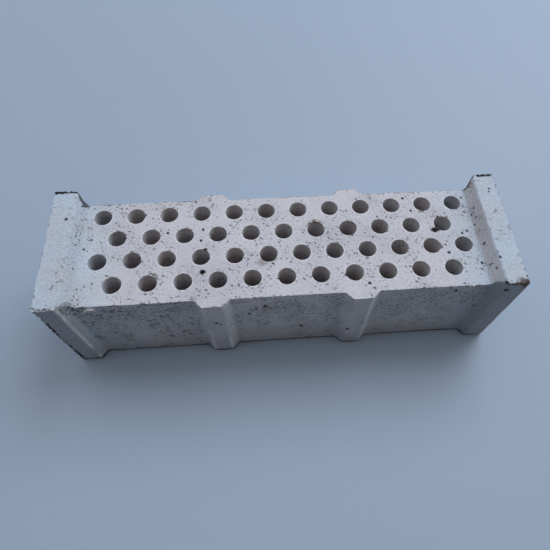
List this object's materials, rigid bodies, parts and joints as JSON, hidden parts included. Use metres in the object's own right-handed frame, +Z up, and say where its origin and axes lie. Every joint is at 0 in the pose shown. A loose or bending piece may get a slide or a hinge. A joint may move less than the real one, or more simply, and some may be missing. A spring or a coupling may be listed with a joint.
{
  "type": "honeycomb refractory brick",
  "caption": "Fired refractory brick pierced from top to bottom by staggered rows of round holes, with raised end lips, end flanges and side ribs that space it from its neighbours.",
  "frame": {"origin": "middle of the bed face, under the centre of the brick", "axes": "+X along the brick, +Y across it away from the picture's camera, +Z up out of the holes"},
  "size_m": [0.23, 0.0676, 0.065],
  "materials": {
    "fired_ceramic": "matte"
  },
  "bodies": {
    "root": {"honeycomb_brick": "fired_ceramic"}
  },
  "joints": []
}
